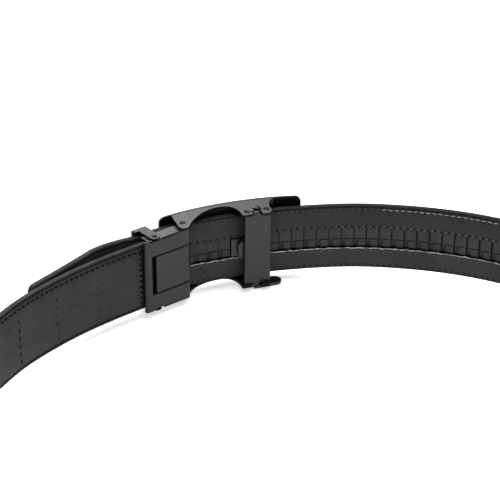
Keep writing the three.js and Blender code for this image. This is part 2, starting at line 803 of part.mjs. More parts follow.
// Clamp flap: a lid in the cover's slot that curls round the pivot pin and bites on the strap
function makeFlap() {
  const inner = clampHalfDepth - clampSheet;
  const free = clampLength - slotMargin - flapMargin;
  const bite = strapInClamp + gap;
  const curlStart = THREE.MathUtils.degToRad(flapCurlStart);
  const curlEnd = 2 * Math.PI + Math.asin(inner / flapBarrel);
  const shape = new THREE.Shape();
  shape.moveTo(free, inner);
  shape.lineTo(free, clampHalfDepth);
  shape.lineTo(flapBarrel, clampHalfDepth);
  shape.absarc(0, 0, flapBarrel, curlStart, curlEnd, false);
  for (let tooth = 0; tooth < gripTeeth; tooth++) {
    const x = clampEndX + gap + tooth * gripPitch;
    shape.lineTo(x, inner);
    shape.lineTo(x + gripPitch / 3, bite);
  }
  shape.lineTo(clampEndX + gap + gripTeeth * gripPitch, inner);
  const flap = slab(shape, slotBottom + gap, slotTop - gap);
  const bore = post(0, 0, pivotRadius + pinGap, slotBottom - overcut, slotTop + overcut);
  return cut(flap, [bore]);
}
addPiece(clamp, 'clamp_flap', makeFlap(), blackMetal);

const pivotPin = post(clampPinX, clampPinY, pivotRadius, flangeBottom, flangeTop + rivetProud);
addPiece(belt, 'clamp_pivot_pin', pivotPin, shinyPin);

// Keeper loop: a bar over the free end, with an arm above and below that runs back to the clamp
function makeKeeper() {
  const barFront = clampHalfDepth - keeperDepth;
  const low = mirrorHeight(armOuter);
  const wide = barFront + keeperBarWidth / 2;
  const outline = new THREE.Shape();
  outline.moveTo(wide, armOuter);
  outline.lineTo(barFront + keeperBend, armOuter);
  outline.absarc(barFront + keeperBend, armOuter - keeperBend, keeperBend, Math.PI / 2, Math.PI, false);
  outline.lineTo(barFront, low + keeperBend);
  outline.absarc(barFront + keeperBend, low + keeperBend, keeperBend, Math.PI, 1.5 * Math.PI, false);
  outline.lineTo(wide, low);
  outline.lineTo(wide, mirrorHeight(armInner));
  outline.lineTo(barFront + keeperSheet, mirrorHeight(armInner));
  outline.lineTo(barFront + keeperSheet, armInner);
  outline.lineTo(wide, armInner);
  const options = { depth: keeperBarWidth, bevelEnabled: false, curveSegments: bendSteps };
  const bar = new THREE.ExtrudeGeometry(outline, options);
  bar.rotateX(Math.PI / 2).rotateZ(Math.PI / 2).translate(keeperBarX, 0, 0);
  const arm = new THREE.Shape();
  arm.moveTo(keeperBarX, wide - overcut);
  arm.lineTo(keeperBarX + keeperArmWidth, wide - overcut);
  arm.lineTo(keeperBarX + keeperArmWidth, keeperPinY);
  arm.absarc(keeperPinX, keeperPinY, keeperArmWidth / 2, 0, Math.PI, false);
  const body = join([bar, slab(arm, armInner, armOuter), slab(arm, low, mirrorHeight(armInner))]);
  const bore = post(keeperPinX, keeperPinY, keeperPinRadius + pinGap, low - overcut, armOuter + overcut);
  return cut(body, [bore]);
}
addPiece(clamp, 'keeper_loop', makeKeeper(), blackMetal);

const pinTop = armOuter + keeperPinProud;
const keeperPinUpper = post(keeperPinX, keeperPinY, keeperPinRadius, sideInner, pinTop);
const keeperPinLower = post(
  keeperPinX, keeperPinY, keeperPinRadius, mirrorHeight(pinTop), mirrorHeight(sideInner),
);
addPiece(clamp, 'keeper_pin_top', keeperPinUpper, shinyPin);
addPiece(clamp, 'keeper_pin_bottom', keeperPinLower, shinyPin);

// The belt stands on its edge with the middle of its outline over the origin
const outline = new THREE.Box3().setFromObject(belt, true);
const middle = outline.getCenter(new THREE.Vector3());
belt.position.set(-middle.x, -middle.y, -outline.min.z);
belt.updateMatrixWorld(true);

export default belt;
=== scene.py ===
"""Looks of the ratchet belt: leather strap with stitching, toothed track, black buckle and stage."""

import math

import bmesh
import bpy
from mathutils import Matrix, Vector
from mathutils.kdtree import KDTree


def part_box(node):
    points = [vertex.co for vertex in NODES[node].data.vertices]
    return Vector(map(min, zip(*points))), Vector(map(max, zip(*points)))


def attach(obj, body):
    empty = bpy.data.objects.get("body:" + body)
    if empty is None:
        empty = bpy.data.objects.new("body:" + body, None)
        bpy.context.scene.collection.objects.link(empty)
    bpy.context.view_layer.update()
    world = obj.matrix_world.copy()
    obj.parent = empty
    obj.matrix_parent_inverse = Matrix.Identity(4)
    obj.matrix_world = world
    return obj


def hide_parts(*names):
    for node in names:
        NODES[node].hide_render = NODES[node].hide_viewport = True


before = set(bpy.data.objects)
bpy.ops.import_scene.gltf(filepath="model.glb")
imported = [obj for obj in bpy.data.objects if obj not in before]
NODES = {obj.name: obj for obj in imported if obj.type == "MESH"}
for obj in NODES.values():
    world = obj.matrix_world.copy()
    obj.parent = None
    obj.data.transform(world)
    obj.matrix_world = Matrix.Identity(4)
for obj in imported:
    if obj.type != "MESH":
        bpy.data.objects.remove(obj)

bl_info = {
    "name": "Ratchet Belt",
    "version": (1, 0, 0),
    "blender": (4, 5, 0),
    "location": "3D View > Sidebar > Belt",
    "description": "Builds the strap, stitching, buckle finishes and stage of a ratchet belt",
    "category": "Object",
}

MM = 0.001

# Middle line of the strap from its cut end in the clamp, round the loop, to the free tip, in mm
STRAP_LINE = [
    (30.38, -158.8), (37.78, -156.33), (48.87, -152.62), (75.41, -142.7), (97.94, -131.38),
    (120.58, -115.7), (147.58, -85.59), (167.1, -43.72), (173.39, 8.51), (159.27, 68.51),
    (120.83, 123.44), (62.4, 160.19), (-4.63, 171.97), (-70.66, 157.86), (-126.2, 119.69),
    (-162.4, 62.85), (-173.53, -3.61), (-157.8, -69.13), (-117.71, -123.3), (-67.94, -154.4),
    (-18.18, -166.17), (-5.76, -166.59), (9.03, -166.67), (21.91, -166.28), (36.71, -164.1),
    (43.13, -162.55), (50.43, -160.11), (57.25, -159.02), (62.13, -158.0), (67.58, -156.47),
    (73.14, -153.9), (79.08, -149.74), (90.89, -141.62), (102.51, -133.9), (109.37, -129.31),
]
LOOP_CENTRE = Vector((-4.63, 2.29))
DROP_TURN = (50, 92)  # degrees from the front between which the strap sinks to the floor
STRAP_LIFT = 5.1  # the strap's lower edge above the floor at the buckle
WINDOW = (845.7, 1139.8)  # distances along the strap between which the track's window is cut
WINDOW_HEIGHTS = (11.4, 22.4)
WINDOW_DEPTH = 2.9
TOOTH_TOP = -1.25  # outward from the strap's middle
TOOTH_FLOOR = -0.15
TOOTH_PITCH = 6.35
TRACK_START = 846.7  # distance at which a tooth of the track begins
TRACK_FOOT = 11.7
MOUTH = 19.5  # distance at which the strap leaves the clamp
CLAMP_SHADE = 22.0  # painted shadow of the clamp's side wall on the leather beside it ends here
TONGUE_SHADE = 1160.0  # from here the tongue's inner face lies in the shade behind the tail
TAIL_END = 330.0  # the tail's stronger painted shade in its stitch grooves, and its needle holes, end here
LIT_STITCHES_START = 520.0  # from here the inner face's stitches take lighter copies of the thread's colour, painted highlight
HIGHLIGHT_END = 965.0  # the brightest painted highlight on them ends here
LIT_STITCHES_END = 1075.0  # from here they take the darkest copy again, painted shade
TIP_RADIUS = 3.0
TIP_THINNING = 0.35  # share of its thickness that the strap loses at its tip
TIP_STATIONS = (0.85, 0.7, 0.55, 0.4, 0.25, 0.12, 0.04, 0)  # before the end, as shares of the tip's radius
TRIM_SPACING = 25.4  # between the trim marks on the inside of the tail
TRIM_START = 2.7
TRIM_HEIGHTS = (5, 26)
LOW_ROW = 1.9  # the lower stitch row above the strap's lower edge
HIGH_ROW = 2.9  # the upper stitch row below the strap's upper edge, on the tail
ROW_RISE = 1.0  # the upper row lies this much higher on the rest of the strap
ROW_RISE_SPAN = (200, 600)  # distances between which it rises
ROW_OVER_WINDOW = 1.1
ROW_UNDER_WINDOW = 1.7

# Painted shade lines on the track: where each one begins and is full
TOOTH_GAP = (0.87, 0.93)  # beside a tooth, in shares of a pitch
BLOCK_END = (0.54, 0.6)  # at the end of a low tooth, in shares of a pitch
ROW_DEPTH = (0.6, 0.95)  # between the rows, in shares of the teeth's height
FOOT_BAND = (TRACK_FOOT + 0.35, TRACK_FOOT + 0.75)  # along the foot, in heights

# Buckle, in mm
PLATE_LENGTH = 75.5
PLATE_RADIUS = 142.0
PLATE_CORNER = 3.2
PLATE_BEVEL = 0.5
PLATE_MIDDLE = -0.829  # the plate's middle along x
AXLE_RADIUS = 1.05
AXLE_HEAD = 0.7
CUT_EDGE = 1.5  # upright sides narrower than this are cut edges of the sheet

# Near-black colours of painted shade: on the strap, on the track, and in needle holes and pin grooves
PAINTED_SHADE_BLACK = (0.0015, 0.0015, 0.0015)
TRACK_SHADE_BLACK = (0.001, 0.001, 0.001)
HOLE_SHADE_BLACK = (0.004, 0.004, 0.004)
TOP_LIGHT = 0.55  # power of the upper softbox, as a share of the one behind the buckle

# Camera of the photograph
CAMERA_PLACE = (231.97, 493.89, 403.5)
CAMERA_HEADING = (-0.3447, -0.9387)
CAMERA_PITCH = 0.50088
CAMERA_ROLL = 0.00655
CAMERA_LENS = 115.59


class StrapSettings(bpy.types.PropertyGroup):
    """Sizes and colours of the strap and its stitching"""

    width: bpy.props.FloatProperty(
        name="Width", description="Height of the strap on its edge", default=35 * MM, unit="LENGTH")
    thickness: bpy.props.FloatProperty(
        name="Thickness", description="Thickness of the strap", default=3.9 * MM, unit="LENGTH")
    edge_round: bpy.props.FloatProperty(
        name="Edge rounding", description="Radius of the strap's edges", default=1.1 * MM, unit="LENGTH")
    leather: bpy.props.FloatVectorProperty(
        name="Leather", description="Colour of the leather", subtype="COLOR",
        default=(0.0285, 0.0283, 0.0279))
    edge_paint: bpy.props.FloatVectorProperty(
        name="Edge paint", description="Colour of the painted edge", subtype="COLOR",
        default=(0.008, 0.008, 0.008))
    # The raw cut's light colour: partly the cut fibres' own, partly a painted highlight on the upward-facing
    # lip
    raw_edge: bpy.props.FloatVectorProperty(
        name="Raw edge", description="Colour of the raw cut in the window", subtype="COLOR",
        default=(0.5, 0.49, 0.48))
    thread: bpy.props.FloatVectorProperty(
        name="Thread", description="Colour of the thread", subtype="COLOR", default=(0.05, 0.05, 0.05))
    stitch_pitch: bpy.props.FloatProperty(
        name="Stitch pitch", description="From one stitch to the next", default=3.1 * MM, unit="LENGTH")
    stitch_length: bpy.props.FloatProperty(
        name="Stitch length", description="Length of one stitch", default=2.3 * MM, unit="LENGTH")
    thread_width: bpy.props.FloatProperty(
        name="Thread width", description="Thickness of the thread", default=0.5 * MM, unit="LENGTH")


class BuckleSettings(bpy.types.PropertyGroup):
    """Sizes and colours of the buckle, clamp and track"""

    metal: bpy.props.FloatVectorProperty(
        name="Metal", description="Colour of the black coating", subtype="COLOR",
        default=(0.009, 0.009, 0.0106))
    pins: bpy.props.FloatVectorProperty(
        name="Pins", description="Colour of the blackened pins", subtype="COLOR",
        default=(0.006, 0.006, 0.0065))
    nylon: bpy.props.FloatVectorProperty(
        name="Track", description="Colour of the moulded track", subtype="COLOR",
        default=(0.035, 0.035, 0.0358))
    edge_softness: bpy.props.FloatProperty(
        name="Edge softness", description="Width of the softened sheet edges", default=0.22 * MM,
        unit="LENGTH")
    plate_thickness: bpy.props.FloatProperty(
        name="Plate thickness", description="Thickness of the face plate", default=1.6 * MM,
        unit="LENGTH")


class StageSettings(bpy.types.PropertyGroup):
    """Floor and light"""

    floor: bpy.props.FloatVectorProperty(
        name="Floor", description="Colour of the floor", subtype="COLOR", default=(0.9, 0.9, 0.9))
    room_light: bpy.props.FloatProperty(
        name="Room light", description="Strength of the light from all round", default=0.54)
    back_light: bpy.props.FloatProperty(
        name="Back light", description="Power of the softbox behind the buckle", default=34, unit="POWER")
    floor_glow: bpy.props.FloatProperty(
        name="Floor glow", description="Light of the floor itself, which keeps it white", default=0.54)


def blank_material(name):
    """A new material with its tree, its surface shader and the object's own coordinates."""
    material = bpy.data.materials.new(name)
    material.use_nodes = True
    tree = material.node_tree
    surface = tree.nodes["Principled BSDF"]
    coordinates = tree.nodes.new("ShaderNodeTexCoord")
    return material, tree, surface, coordinates.outputs["Object"]


def noise(tree, place, scale, detail=4.0):
    node = tree.nodes.new("ShaderNodeTexNoise")
    node.inputs["Scale"].default_value = scale
    node.inputs["Detail"].default_value = detail
    tree.links.new(place, node.inputs["Vector"])
    return node.outputs["Fac"]


def between(tree, factor, low, high, spread=(0.3, 0.7)):
    """Maps a pattern's values to the range from low to high."""
    node = tree.nodes.new("ShaderNodeMapRange")
    node.inputs["From Min"].default_value = spread[0]
    node.inputs["From Max"].default_value = spread[1]
    node.inputs["To Min"].default_value = low
    node.inputs["To Max"].default_value = high
    tree.links.new(factor, node.inputs["Value"])
    return node.outputs["Result"]


def tones(tree, factor, colour, low, high):
    """A colour that varies from low to high times itself with a pattern."""
    node = tree.nodes.new("ShaderNodeValToRGB")
    ends = node.color_ramp.elements
    ends[0].position, ends[1].position = 0.3, 0.7
    ends[0].color = (*(c * low for c in colour), 1)
    ends[1].color = (*(c * high for c in colour), 1)
    tree.links.new(factor, node.inputs["Fac"])
    return node.outputs["Color"]


def mark(tree, attribute):
    """The piece's own attribute as a number."""
    node = tree.nodes.new("ShaderNodeAttribute")
    node.attribute_name = attribute
    return node.outputs["Fac"]


def darkened(tree, colour, factor, dark):
    """A colour that turns to a dark one as the factor goes from 0 to 1."""
    mix = tree.nodes.new("ShaderNodeMix")
    mix.data_type = "RGBA"
    mix.inputs["B"].default_value = (*dark, 1)
    tree.links.new(factor, mix.inputs["Factor"])
    tree.links.new(colour, mix.inputs["A"])
    return mix.outputs["Result"]


def calculated(tree, operation, *entries):
    """The result of a calculation on sockets or numbers."""
    node = tree.nodes.new("ShaderNodeMath")
    node.operation = operation
    for entry, value in zip(node.inputs, entries):
        if isinstance(value, (int, float)):
            entry.default_value = value
        else:
            tree.links.new(value, entry)
    return node.outputs["Value"]


def bump(tree, surface, height, strength, distance):
    node = tree.nodes.new("ShaderNodeBump")
    node.inputs["Strength"].default_value = strength
    node.inputs["Distance"].default_value = distance
    tree.links.new(height, node.inputs["Height"])
    tree.links.new(node.outputs["Normal"], surface.inputs["Normal"])


def leather_material(settings):
    material, tree, surface, place = blank_material("strap_leather")
    cells = tree.nodes.new("ShaderNodeTexVoronoi")
    cells.inputs["Scale"].default_value = 1300
    tree.links.new(place, cells.inputs["Vector"])
    broad = noise(tree, place, 55)
    fine = noise(tree, place, 2600, 2)
    face = tones(tree, broad, settings.leather, 0.85, 1.25)
    painted = darkened(tree, face, mark(tree, "painted_edge"), settings.edge_paint)
    # Painted shade: darker in the stitch grooves, the window's recess, beside the clamp and on the tongue
    # behind the tail
    with_painted_shade = darkened(tree, painted, mark(tree, "painted_shade"), PAINTED_SHADE_BLACK)
    tree.links.new(with_painted_shade, surface.inputs["Base Color"])
    tree.links.new(between(tree, noise(tree, place, 240), 0.5, 0.66), surface.inputs["Roughness"])
    surface.inputs["Specular IOR Level"].default_value = 0.12
    grain = calculated(tree, "MULTIPLY_ADD", fine, 0.6, cells.outputs["Distance"])
    bump(tree, surface, grain, 0.35, 0.12 * MM)
    return material


def raw_leather_material(settings):
    material, tree, surface, place = blank_material("strap_raw_edge")
    fibres = noise(tree, place, 420, 6)
    tree.links.new(tones(tree, fibres, settings.raw_edge, 0.1, 1.3), surface.inputs["Base Color"])
    surface.inputs["Roughness"].default_value = 0.85
    bump(tree, surface, fibres, 0.6, 0.2 * MM)
    return material


def thread_material(name, colour):
    material, tree, surface, place = blank_material(name)
    twist = tree.nodes.new("ShaderNodeTexWave")
    twist.inputs["Scale"].default_value = 900
    twist.inputs["Distortion"].default_value = 1.5
    tree.links.new(place, twist.inputs["Vector"])
    tree.links.new(tones(tree, twist.outputs["Fac"], colour, 0.6, 1.3), surface.inputs["Base Color"])
    surface.inputs["Roughness"].default_value = 0.45
    bump(tree, surface, twist.outputs["Fac"], 0.4, 0.05 * MM)
    return material


# Painted shade: near-black for needle holes and pin grooves; the trim marks and the stitches beside the clamp
# use it too
def hole_shade_material():
    material, tree, surface, place = blank_material("needle_hole_shade")
    black = tones(tree, noise(tree, place, 1500), HOLE_SHADE_BLACK, 0.5, 1.5)
    tree.links.new(black, surface.inputs["Base Color"])
    surface.inputs["Roughness"].default_value = 0.9
    surface.inputs["Specular IOR Level"].default_value = 0.1
    return material


def track_shade(tree):
    """How much painted shade the track gets, from 0 to 1: between teeth, between the two rows and along the
    foot.
    """
    phase = calculated(tree, "FRACT", mark(tree, "pitches"))
    between_teeth = between(tree, phase, 0, 1, TOOTH_GAP)
    in_block = between(tree, phase, 1, 0.45, BLOCK_END)
    deep = between(tree, mark(tree, "depth"), 0, 1, ROW_DEPTH)
    between_rows = calculated(tree, "MULTIPLY", deep, in_block)
    foot = between(tree, mark(tree, "rise"), 0.9, 0, FOOT_BAND)
    return calculated(tree, "MAXIMUM", calculated(tree, "MAXIMUM", between_teeth, between_rows), foot)


def nylon_material(settings):
    material, tree, surface, place = blank_material("track_nylon")
    shell = tones(tree, noise(tree, place, 90), settings.nylon, 0.85, 1.2)
    shade = track_shade(tree)
    # Painted shade: the moulded colour darkens between teeth, between the rows and along the foot
    tree.links.new(darkened(tree, shell, shade, TRACK_SHADE_BLACK), surface.inputs["Base Color"])
    tree.links.new(between(tree, noise(tree, place, 700), 0.4, 0.56), surface.inputs["Roughness"])
    surface.inputs["Specular IOR Level"].default_value = 0.12
    bump(tree, surface, noise(tree, place, 1800, 2), 0.15, 0.05 * MM)
    return material


def coated_metal_material(name, colour, roughness, shine=0.4):
    """Satin black coating: fine orange peel, faint cloudy wear."""
    material, tree, surface, place = blank_material(name)
    cloudy = noise(tree, place, 120, 5)
    tree.links.new(tones(tree, cloudy, colour, 0.85, 1.2), surface.inputs["Base Color"])
    worn = between(tree, noise(tree, place, 420, 3), roughness - 0.05, roughness + 0.07)
    tree.links.new(worn, surface.inputs["Roughness"])
    surface.inputs["Specular IOR Level"].default_value = shine
    surface.inputs["Coat Weight"].default_value = shine * 0.2
    surface.inputs["Coat Roughness"].default_value = 0.3
    bump(tree, surface, noise(tree, place, 3200, 2), 0.12, 0.04 * MM)
    return material


def cut_edge_shade_material(settings):
    """The narrow sides of the sheet, darker than its faces: a painted shade copy of the coating."""
    return coated_metal_material("cut_edge_shade", [c * 0.3 for c in settings.metal], 0.5, 0.1)


def smooth_line(points, per_span=24):
    """Centripetal curve through the points, as a list of close points."""
    points = [Vector(p) for p in points]
    padded = [2 * points[0] - points[1], *points, 2 * points[-1] - points[-2]]
    line = []
    for i in range(len(points) - 1):
        p0, p1, p2, p3 = padded[i:i + 4]
        d0, d1, d2 = ((b - a).length ** 0.5 for a, b in ((p0, p1), (p1, p2), (p2, p3)))
        t1 = ((p1 - p0) / d0 - (p2 - p0) / (d0 + d1) + (p2 - p1) / d1) * d1
        t2 = ((p2 - p1) / d1 - (p3 - p1) / (d1 + d2) + (p3 - p2) / d2) * d1
        for step in range(per_span):
            t = step / per_span
            quadratic = -3 * p1 + 3 * p2 - 2 * t1 - t2
            cubic = 2 * p1 - 2 * p2 + t1 + t2
            line.append(p1 + t1 * t + quadratic * t ** 2 + cubic * t ** 3)
    return line + [points[-1]]


class StrapPath:
    """The strap's middle line by distance, in mm, with the drop from the buckle to the floor."""

    def __init__(self):
        self.line = smooth_line(STRAP_LINE)
        self.reach = [0.0]
        for a, b in zip(self.line, self.line[1:]):
            self.reach.append(self.reach[-1] + (b - a).length)
        self.length = self.reach[-1]

    def flat_point(self, distance):
        distance = min(max(distance, 0), self.length)
        low, high = 0, len(self.reach) - 1
        while high - low > 1:
            middle = (low + high) // 2
            if self.reach[middle] <= distance:
                low = middle
            else:
                high = middle
        share = (distance - self.reach[low]) / (self.reach[high] - self.reach[low])
        return self.line[low].lerp(self.line[high], share)

    def station(self, distance):
        """Place and outward direction of the strap at a distance from its cut end."""
        place = self.flat_point(distance)
        ahead = self.flat_point(distance + 0.6) - self.flat_point(distance - 0.6)
        outward = Vector((ahead.y, -ahead.x, 0)).normalized()
        turn = math.degrees(math.atan2(abs(place.x - LOOP_CENTRE.x), LOOP_CENTRE.y - place.y))
        share = min(max((turn - DROP_TURN[0]) / (DROP_TURN[1] - DROP_TURN[0]), 0), 1)
        height = STRAP_LIFT * (1 - share * share * (3 - 2 * share))
        return Vector((place.x, place.y, height)), outward

    def on_face(self, distance, offset, height):
        """A point on the strap, in metres: offset outward from its middle, height up its width."""
        place, outward = self.station(distance)
        return (place + outward * offset + Vector((0, 0, height))) * MM


PATH = StrapPath()


def row_heights(distance, width):
    """Heights of the lower and the upper stitch row; the tail's upper row lies a little lower."""
    start, end = ROW_RISE_SPAN
    share = min(max((distance - start) / (end - start), 0), 1)
    return LOW_ROW, width - HIGH_ROW + ROW_RISE * share


def strap_section(distance, width, thickness, rounding, recessed):
    """Corners of the strap's section as (outward, height, painted edge, painted shade), anticlockwise."""
    half = thickness / 2
    steps = [math.radians(a) for a in (0, 22.5, 45, 67.5, 90)]
    low_row, high_row = row_heights(distance, width)
    sink = 0.35
    section = []

    def corner(side, foot, direction, angles):
        for a in angles:
            offset = side * (half - rounding * (1 - math.cos(a)))
            section.append((offset, foot + direction * rounding * (1 - math.sin(a)), 1, 0))

    # A stitch groove, with painted shade at its bottom
    def groove(side, row, direction, painted_shade, spread=0.6):
        section.append((side * half, row - direction * spread, 0, 0))
        section.append((side * (half - sink), row, 0, painted_shade))
        section.append((side * half, row + direction * spread, 0, 0))

    on_tail = distance < TAIL_END
    corner(-1, 0, 1, steps)
    corner(1, 0, 1, reversed(steps))
    groove(1, low_row, 1, 0.3)
    groove(1, high_row, 1, 0.3)
    corner(1, width, -1, steps)
    corner(-1, width, -1, reversed(steps))
    groove(-1, high_row, -1, 0.6 if on_tail else 0.2, 1.4 if on_tail else 0.6)
    bottom, top = WINDOW_HEIGHTS
    chamfer = 0.35
    rough = 0.14 * math.sin(distance * 1.9) + 0.12 * math.sin(distance * 0.83 + 2)
    # The window's recessed walls and floor get painted shade
    if recessed:
        floor = -half + WINDOW_DEPTH
        rim = [(-half, top + chamfer, 0), (-half + chamfer, top, 1), (floor, top, 1), (floor, bottom, 1)]
        rim += [(-half + chamfer, bottom + rough, 1), (-half, bottom - chamfer + rough, 0)]
    else:
        heights = (top + chamfer, top, top - chamfer, bottom + chamfer, bottom, bottom - chamfer)
        rim = [(-half, height, 0) for height in heights]
    section += [(offset, height, 0, painted_shade) for offset, height, painted_shade in rim]
    groove(-1, low_row, -1, 1 if on_tail else 0.5, 0.8 if on_tail else 0.6)
    return section


def strap_distances():
    """Distances of the strap's stations, each with whether the window is cut there."""
    start, end = WINDOW
    spacing = 2.0
    stations = []

    def stretch(a, b, recessed):
        count = math.ceil((b - a) / spacing)
        for i in range(count + 1):
            stations.append((a + (b - a) * i / count, recessed))

    stretch(0, CLAMP_SHADE - 0.4, False)
    stretch(CLAMP_SHADE, start - 0.2, False)
    stretch(start, end, True)
    stretch(end + 0.2, PATH.length - TIP_RADIUS, False)
    for share in TIP_STATIONS:
        stations.append((PATH.length - TIP_RADIUS * share, False))
    return stations


def strap_mesh(settings):
    """The strap as one closed swept skin, with rounded edges, stitch grooves and the track's window."""
    sizes = (settings.width, settings.thickness, settings.edge_round)
    width, thickness, rounding = (size / MM for size in sizes)
    points, painted, painted_shades, faces, raw = [], [], [], [], []
    stations = strap_distances()
    for distance, recessed in stations:
        section = strap_section(distance, width, thickness, rounding, recessed)
        count = len(section)
        short = max(TIP_RADIUS - (PATH.length - distance), 0)
        inset = TIP_RADIUS - math.sqrt(TIP_RADIUS ** 2 - short ** 2)
        slim = 1 - TIP_THINNING * short / TIP_RADIUS
        for offset, height, paint, painted_shade in section:
            tall = inset + height * (1 - 2 * inset / width)
            points.append(PATH.on_face(distance, offset * slim, tall))
            painted.append(max(paint, short / TIP_RADIUS))
            # Painted shade on the inner face: the clamp's shadow beside it and the tongue's face behind the
            # tail
            shaded = distance < CLAMP_SHADE or distance > TONGUE_SHADE and height < width - rounding
            painted_shades.append(1 if shaded and offset < 0 else painted_shade)
    lip = count - 5  # the window's lower lip, where the leather is cut raw and its light colour is partly a painted highlight
    for i in range(len(stations) - 1):
        for j in range(count):
            following = (j + 1) % count
            faces.append((i * count + j, i * count + following,
                          (i + 1) * count + following, (i + 1) * count + j))
            raw.append(stations[i][1] and stations[i + 1][1] and j == lip)
    last = (len(stations) - 1) * count
    faces += [tuple(range(count))[::-1], tuple(range(last, last + count))]
    raw += [False, False]
    mesh = bpy.data.meshes.new("strap_leather_skin")
    mesh.from_pydata([tuple(p) for p in points], [], faces)
    for name, values in (("painted_edge", painted), ("painted_shade", painted_shades)):
        mesh.attributes.new(name, "FLOAT", "POINT").data.foreach_set("value", values)
    for polygon, is_raw in zip(mesh.polygons, raw):
        polygon.material_index = int(is_raw)
        polygon.use_smooth = True
    return mesh


def outward_faces(mesh):
    tool = bmesh.new()
    tool.from_mesh(mesh)
    bmesh.ops.recalc_face_normals(tool, faces=tool.faces)
    tool.to_mesh(mesh)
    tool.free()


def add_piece(name, mesh, materials, body, replaced=()):
    """Puts a finished mesh in the scene as a piece of a body."""
    piece = bpy.data.objects.new(name, mesh)
    bpy.context.scene.collection.objects.link(piece)
    for material in materials:
        mesh.materials.append(material)
    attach(piece, body)
    if replaced:
        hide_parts(*replaced)
    return piece


def stitch_tree():
    """Geometry nodes that lay stitches along curves: points by pitch, a thread on each, a fixed seed."""
    tree = bpy.data.node_groups.new("stitch_row", "GeometryNodeTree")
    sockets = tree.interface
    sockets.new_socket("Rows", in_out="INPUT", socket_type="NodeSocketGeometry")
    for name in ("Pitch", "Length", "Width", "Tilt"):
        sockets.new_socket(name, in_out="INPUT", socket_type="NodeSocketFloat")
    sockets.new_socket("Thread", in_out="INPUT", socket_type="NodeSocketMaterial")
    sockets.new_socket("Stitches", in_out="OUTPUT", socket_type="NodeSocketGeometry")
    made = {}

    def node(key, kind, **settings):
        made[key] = tree.nodes.new(kind)
        for name, value in settings.items():
            setattr(made[key], name, value)
        return made[key]

    def link(source, output, target, entry):
        tree.links.new(made[source].outputs[output], made[target].inputs[entry])

    node("in", "NodeGroupInput")
    node("out", "NodeGroupOutput")
    node("points", "GeometryNodeCurveToPoints", mode="LENGTH")
    node("ball", "GeometryNodeMeshUVSphere")
    made["ball"].inputs["Segments"].default_value = 6
    made["ball"].inputs["Rings"].default_value = 5
    made["ball"].inputs["Radius"].default_value = 0.5
    node("size", "ShaderNodeCombineXYZ")
    node("stretch", "GeometryNodeTransform")
    node("lean", "FunctionNodeRandomValue", data_type="FLOAT_VECTOR")
    made["lean"].inputs["Seed"].default_value = 7
    node("tilts", "ShaderNodeVectorMath", operation="SCALE")
    made["lean"].inputs[0].default_value = (-1, -1, -1)
    made["lean"].inputs[1].default_value = (1, 1, 1)
    node("turn", "FunctionNodeEulerToRotation")
    node("turned", "FunctionNodeRotateRotation", rotation_space="LOCAL")
    node("lay", "GeometryNodeInstanceOnPoints")
    node("smooth", "GeometryNodeSetShadeSmooth")
    node("real", "GeometryNodeRealizeInstances")
    node("finish", "GeometryNodeSetMaterial")
    link("in", "Rows", "points", "Curve")
    link("in", "Pitch", "points", "Length")
    for axis, entry in (("X", "Width"), ("Y", "Width"), ("Z", "Length")):
        link("in", entry, "size", axis)
    link("ball", "Mesh", "stretch", "Geometry")
    link("size", "Vector", "stretch", "Scale")
    link("lean", 0, "tilts", 0)
    link("in", "Tilt", "tilts", "Scale")
    link("tilts", 0, "turn", 0)
    link("points", "Rotation", "turned", 0)
    link("turn", 0, "turned", 1)
    link("points", "Points", "lay", "Points")
    link("stretch", "Geometry", "lay", "Instance")
    link("turned", 0, "lay", "Rotation")
    link("lay", "Instances", "smooth", "Geometry")
    link("smooth", "Geometry", "real", "Geometry")
    link("real", "Geometry", "finish", "Geometry")
    link("in", "Thread", "finish", "Material")
    link("finish", "Geometry", "out", 0)
    return tree


def lay_stitches(name, tree, rows, pitch, length, width, tilt, material):
    """One piece of stitches along rows of points, as a plain mesh on the belt."""
    curve = bpy.data.curves.new(name, "CURVE")
    curve.dimensions = "3D"
    for row in rows:
        spline = curve.splines.new("POLY")
        spline.points.add(len(row) - 1)
        for point, place in zip(spline.points, row):
            point.co = (*place, 1)
    source = bpy.data.objects.new(name + "_rows", curve)
    bpy.context.scene.collection.objects.link(source)
    modifier = source.modifiers.new("Stitches", "NODES")
    modifier.node_group = tree
    entries = {item.name: item.identifier for item in tree.interface.items_tree if item.in_out == "INPUT"}
    values = {"Pitch": pitch, "Length": length, "Width": width, "Tilt": tilt, "Thread": material}
    for entry, value in values.items():
        modifier[entries[entry]] = value
    evaluated = source.evaluated_get(bpy.context.evaluated_depsgraph_get())
    mesh = bpy.data.meshes.new_from_object(evaluated)
    source.modifiers.remove(modifier)
    bpy.data.objects.remove(source)
    mesh.name = name
    mesh.materials.clear()
    return add_piece(name, mesh, [material], "belt")


def row_along(start, end, offset, height_at, step=4.0):
    """A row of points along the strap between two distances."""
    count = max(round((end - start) / step), 2)
    distances = [start + (end - start) * i / count for i in range(count + 1)]
    return [PATH.on_face(d, offset, height_at(d)) for d in distances]


def row_up(distance, offset, low, high):
    """A row of points up the strap at one distance."""
    return [PATH.on_face(distance, offset, low + (high - low) * i / 12) for i in range(13)]


